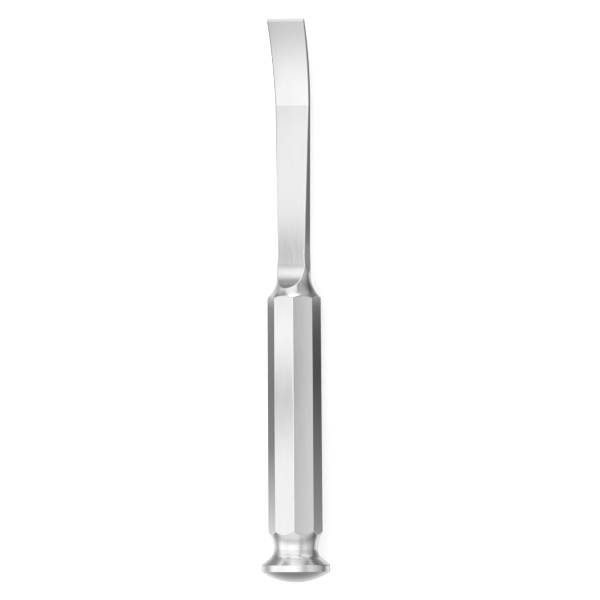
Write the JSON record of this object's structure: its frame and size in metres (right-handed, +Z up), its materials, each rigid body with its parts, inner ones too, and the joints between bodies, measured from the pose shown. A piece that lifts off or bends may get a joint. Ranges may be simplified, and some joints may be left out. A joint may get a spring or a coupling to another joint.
{
  "type": "osteotome",
  "caption": "One-piece steel bone chisel: round striking head, eight-sided handle and a long wedge blade with a hooked, double-bevelled edge.",
  "frame": {"origin": "bottom centre of the bounding box, on the surface it lies on", "axes": "+X from the striking head to the cutting edge, +Z up; the blade hooks up towards +Z. It lies on the head's rim and the front of one flat, so its axis dips 2.0 degrees to +X."},
  "size_m": [0.205, 0.025, 0.0251],
  "materials": {
    "satin_steel": "satin"
  },
  "bodies": {
    "root": {"osteotome": "satin_steel"}
  },
  "joints": []
}
